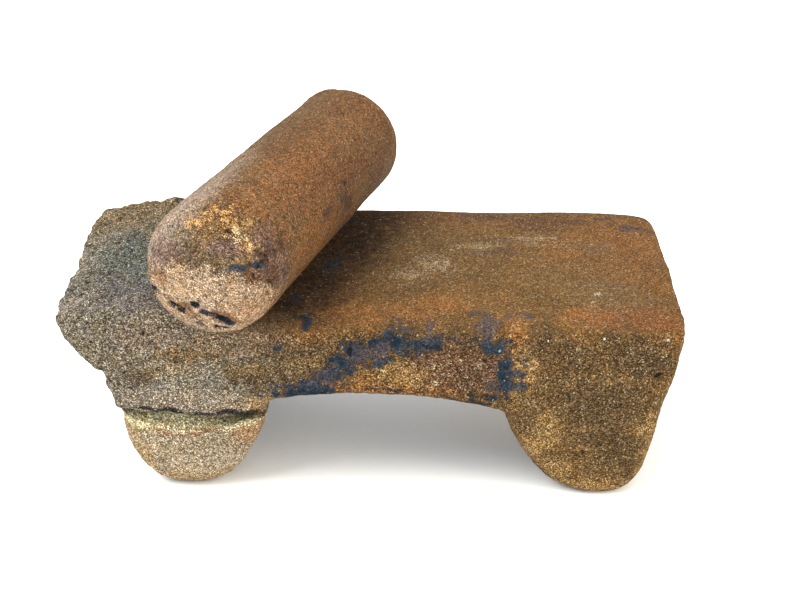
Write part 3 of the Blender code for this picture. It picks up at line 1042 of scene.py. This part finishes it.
@dataclass
class Handstone(CarvedStone):
    """The handstone: a blunt tapering roller, rubbed along its barrel and chipped at its near end."""

    node: str = "handstone"
    slot: str = "handstone_stone"
    cell: float = 0.0010
    wear: Wear = Wear(swell=0.0003, lump=0.00022, grain=0.00016, pit=0.0005)
    chips: tuple[Chip, ...] = (
        Chip(Spot((-82, -112, 142), (8.5, 10, 3.2), (0, 27, 0)), 0.0042),
        Chip(Spot((-83, -110, 134.5), (4.0, 10, 1.7), (0, 27, 0)), 0.0022),
        Chip(Spot((-95, -110, 149.0), (2.6, 10, 2.2)), 0.0020),
        Chip(Spot((-119, -96, 150.0), (3.0, 8, 3.6)), 0.0022),
        Chip(Spot((-109, -103, 146.5), (2.6, 8, 2.2)), 0.0018),
        Chip(Spot((-104, -106, 143.0), (2.8, 8, 2.4)), 0.0018),
        Chip(Spot((-98, -108, 141.0), (14.0, 10, 7.0), (0, 30, 0)), 0.0008, 0.6),
        Chip(Spot((-76, -100, 192.0), (20.0, 10, 9.0), (0, 22, -25)), 0.0010, 0.5),
        Chip(Spot((-60, -106, 176.0), (10.0, 10, 6.0)), 0.0007, 0.5),
        Chip(Spot((-90, -32, 190), (22, 74, 24), (0, 0, -20)), 0.0017, 0.9),
        Chip(Spot((-38, 96, 184), (16, 18, 20), (0, 0, -20)), -0.0012, 0.8),
    )

    near_from: tuple[float, float] = (0.075, 0.100)
    near_rougher: float = 0.7

    def rough_at(self, place: Vector) -> float:
        """Say how rough the stone is: smooth along its barrel, rougher at its near end."""
        return 1.0 + self.near_rougher * ease(-place.y, *self.near_from)

    def finish(self) -> Sandstone:
        """Give the handstone's finish: reddish brown, with a pale near end below a mottled, flecked band."""
        return RollerSandstone(
            "handstone_sandstone", earth(121, 91, 61), earth(112, 80, 53), 0.00070, 1.45,
            (*self.tints(), *self.crusts()), hue=0.65, pale_share=0.008, dark_share=0.02,
        )

    def tints(self) -> tuple[Stain, ...]:
        """Give the soft tints: a painted grey highlight on the upper left, rust on the flank, the mottled band,
        and the pale end.
        """
        return (
            # Painted highlight: the pale grey sheen that light leaves along the upper left flank and the left
            # of the near end.
            Stain("painted grey sheen", Pigment.PAINTED_SHEEN, (
                Spot((-98, -60, 192), (16, 60, 22), (0, 0, -20)), Spot((-118, -92, 180), (12, 18, 18)),
            ), strength=0.50, soft=0.45, ragged=0.6),
            Stain("rust on the flank", Pigment.RUST, (
                Spot((-62, -76, 196), (14, 14, 10)), Spot((-44, -25, 192), (14, 40, 14), (0, 0, -20)),
                Spot((-30, -60, 160), (12, 60, 20)),
            ), strength=0.40, soft=0.45, ragged=3.0, level=-0.4),
            Stain("red-brown mottling", Pigment.BRICK, (
                Spot((-34, -10, 178), (22, 90, 26), (0, 0, -20)), Spot((-10, 70, 185), (26, 40, 24)),
            ), strength=0.35, soft=0.45, ragged=3.0, level=-0.4),
            Stain("olive along the top", Pigment.OLIVE, (
                Spot((-80, 20, 200), (22, 70, 20), (0, 0, -20)), Spot((-40, 95, 200), (24, 24, 20)),
            ), strength=0.50, soft=0.60, ragged=1.8),
            Stain("mottled band", Pigment.MOSS, (Spot((-88, -106, 180), (30, 14, 11)),),
                strength=0.55, soft=0.35, ragged=1.6),
            Stain("yellow flecks", Pigment.OCHRE, (
                Spot((-87, -107, 184), (7, 8, 9)), Spot((-68, -112, 178), (8, 8, 4)),
                Spot((-72, -99, 192), (16, 10, 7)),
            ), strength=0.60, soft=0.20, ragged=2.8, level=-0.50),
            Stain("mauve patches", Pigment.LILAC, (
                Spot((-112, -101, 175), (14, 10, 7)), Spot((-56, -101, 178), (9, 12, 12)),
                Spot((-79, -109, 184), (10, 8, 4)), Spot((-49, -94, 160), (5, 10, 10)),
            ), strength=0.65, soft=0.35, ragged=2.0),
            Stain("pale near end", Pigment.TAN, (Spot((-90, -118, 149), (44, 32, 23), (0, 4, 0)),),
                strength=0.90, soft=0.12, ragged=0.5),
            Stain("warm lower right", Pigment.RUST, (Spot((-62, -108, 146), (16, 14, 12)),),
                strength=0.30, soft=0.45, ragged=0.8),
            Stain("green underside", Pigment.MOSS, (Spot((-100, -99, 129), (14, 12, 6)),),
                strength=0.45, soft=0.40, ragged=1.0),
        )

    def crusts(self) -> tuple[Stain, ...]:
        """Give the marks that hide the grain: golden flecks, dark pits and their orange and pale rims."""
        return (
            Crust("golden flecks", Pigment.GOLD, (
                Spot((-81, -92, 197), (6, 8, 4)), Spot((-75, -101, 191), (10, 6, 4), (0, 28, 0)),
                Spot((-66, -104, 185), (9, 6, 4), (0, 28, 0)), Spot((-93, -99, 193), (7, 6, 3)),
                Spot((-88, -95, 196), (8, 6, 3)),
            ), strength=0.70, soft=0.15, ragged=3.4, level=-0.60),
            Crust("pale flecks", Pigment.CREAM, (
                Spot((-72, -102, 189), (12, 8, 4), (0, 28, 0)), Spot((-110, -104, 165), (7, 8, 3)),
                Spot((-96, -110, 145), (13, 8, 6), (0, 30, 0)),
                Spot((-80, -111, 137), (10, 8, 2.4), (0, 27, 0)),
            ), strength=0.60, soft=0.12, ragged=3.0, level=-0.80),
            Crust("orange rim of the pit", Pigment.BRICK, (
                Spot((-79, -113, 144.5), (9, 8, 3), (0, 27, 0)),
            ), strength=0.80, soft=0.15, ragged=0.7),
            Crust("pink flecks", Pigment.RUST, (
                Spot((-100, -107, 145), (10, 8, 5), (0, 30, 0)), Spot((-112, -100, 162), (7, 8, 4)),
            ), strength=0.60, soft=0.12, ragged=2.0, level=-0.3),
            Crust("navy pits", Pigment.NAVY, (
                Spot((-83, -112, 142), (10.5, 10, 3.0), (0, 27, 0)),
                Spot((-83, -110, 134.5), (4.2, 10, 1.5), (0, 27, 0)),
                Spot((-95, -110, 149), (2.6, 10, 1.6), (0, 30, 0)),
                Spot((-119, -96, 150), (2.4, 8, 3.4), (0, 30, 0)),
                Spot((-109, -103, 146.5), (2.6, 8, 1.5), (0, 40, 0)),
                Spot((-104, -106, 143), (3.0, 8, 1.5), (0, 40, 0)),
            ), strength=0.94, soft=0.08, ragged=1.0),
            Crust("navy flecks along the rim", Pigment.NAVY, (
                Spot((-104, -105, 146), (20, 8, 5), (0, 36, 0)),
                Spot((-54, -103, 163), (8, 8, 5), (0, -20, 0)),
            ), strength=0.85, soft=0.12, ragged=3.0, level=-0.95),
            Crust("flecked patch on the flank", Pigment.NAVY, (
                Spot((-20, -6, 165), (8, 12, 8)), Spot((-30, -30, 165), (8, 12, 6)),
            ), strength=0.70, soft=0.15, ragged=3.0, level=-0.85),
            Crust("blue pit", Pigment.SLATE, (
                Spot((-69, -113, 174.5), (5.0, 8, 2.0)), Spot((-60, -109, 174), (5, 8, 1.6)),
            ), strength=0.85, soft=0.20, ragged=1.8),
            Crust("dark marks", Pigment.INK, (
                Spot((-53, -104, 162), (4, 8, 3), (0, -30, 0)), Spot((-47, -92, 160), (3, 8, 4)),
                Spot((-49, -89, 176), (3, 8, 5)), Spot((-16, -1, 158), (6, 8, 3.5)),
                Spot((-90, -109, 150), (2, 8, 3), (0, 30, 0)), Spot((-57, -102, 176), (4, 8, 7)),
            ), strength=0.45, soft=0.15, ragged=2.0, level=-0.1),
        )


@dataclass(frozen=True)
class SoftBox:
    """One soft studio light: where it is, what it points at, and how large, strong and warm it is."""

    name: str
    place: Triple
    size: float
    power: float
    colour: Triple
    aim: Triple = (0.0, 0.0, 0.06)

    def build(self) -> bpy.types.Object:
        """Set up the light.

        Returns:
            The light's object.
        """
        lamp = bpy.data.lights.new(self.name, 'AREA')
        lamp.shape = 'SQUARE'
        lamp.size = self.size
        lamp.energy = self.power
        lamp.color = self.colour
        item = bpy.data.objects.new(self.name, lamp)
        item.location = self.place
        item.rotation_euler = (Vector(self.aim) - Vector(self.place)).to_track_quat('-Z', 'Y').to_euler()
        bpy.context.scene.collection.objects.link(item)
        return item


@dataclass
class Studio:
    """The plain pale floor, the soft lights, and the camera at the photograph's viewing angle."""

    eye: Triple = (0.02521, -0.91369, 0.61795)
    down: float = 30.0
    yaw: float = -0.598
    roll: float = 0.340
    lens: float = 76.69
    film_width: float = 36.0
    floor_size: float = 8.0
    floor_colour: Colour = (0.93, 0.93, 0.92, 1.0)
    floor_roughness: float = 0.9
    sky: Colour = (0.91, 0.97, 1.02, 1.0)
    sky_strength: float = 1.45
    lights: tuple[SoftBox, ...] = field(default_factory=lambda: (
        SoftBox("key", (-1.10, -0.50, 1.90), 1.3, 68.0, (1.0, 0.985, 0.96)),
        SoftBox("fill", (1.60, -0.60, 1.10), 1.2, 24.0, (1.0, 0.84, 0.58)),
    ))

    def build_floor(self) -> bpy.types.Object:
        """Lay the floor.

        Returns:
            The floor's object.
        """
        bm = bmesh.new()
        bmesh.ops.create_grid(bm, x_segments=1, y_segments=1, size=self.floor_size / 2)
        mesh = bpy.data.meshes.new("floor")
        bm.to_mesh(mesh)
        bm.free()
        bench = Bench("pale_floor")
        bench.feed(bench.shader.inputs["Base Color"], self.floor_colour)
        bench.feed(bench.shader.inputs["Roughness"], self.floor_roughness)
        mesh.materials.append(bench.material)
        floor = bpy.data.objects.new("floor", mesh)
        bpy.context.scene.collection.objects.link(floor)
        return floor

    def build_sky(self) -> None:
        """Fill the room with even light."""
        world = bpy.data.worlds.new("room")
        world.use_nodes = True
        background = world.node_tree.nodes["Background"]
        background.inputs["Color"].default_value = self.sky
        background.inputs["Strength"].default_value = self.sky_strength
        bpy.context.scene.world = world

    def build_camera(self) -> bpy.types.Object:
        """Set the camera where the photograph was taken from.

        Returns:
            The camera's object.
        """
        down, yaw = math.radians(self.down), math.radians(self.yaw)
        ahead = Vector((math.sin(yaw) * math.cos(down), math.cos(yaw) * math.cos(down), -math.sin(down)))
        turn = ahead.to_track_quat('-Z', 'Y').to_matrix() @ Matrix.Rotation(math.radians(self.roll), 3, 'Z')
        lens = bpy.data.cameras.new("camera")
        lens.lens = self.lens
        lens.sensor_width = self.film_width
        camera = bpy.data.objects.new("camera", lens)
        camera.matrix_world = Matrix.Translation(self.eye) @ turn.to_4x4()
        bpy.context.scene.collection.objects.link(camera)
        bpy.context.scene.camera = camera
        return camera

    def build(self) -> None:
        """Set up the floor, the room, the lights and the camera."""
        self.build_floor()
        self.build_sky()
        for light in self.lights:
            light.build()
        self.build_camera()
        bpy.context.scene.view_settings.view_transform = 'Standard'


def main() -> None:
    """Build the studio and the three stones."""
    logging.basicConfig(level=logging.INFO, format="%(message)s")
    Studio().build()
    for stone in (Quern(), BrokenLeg(), Handstone()):
        stone.build()


if __name__ == "__main__":
    main()
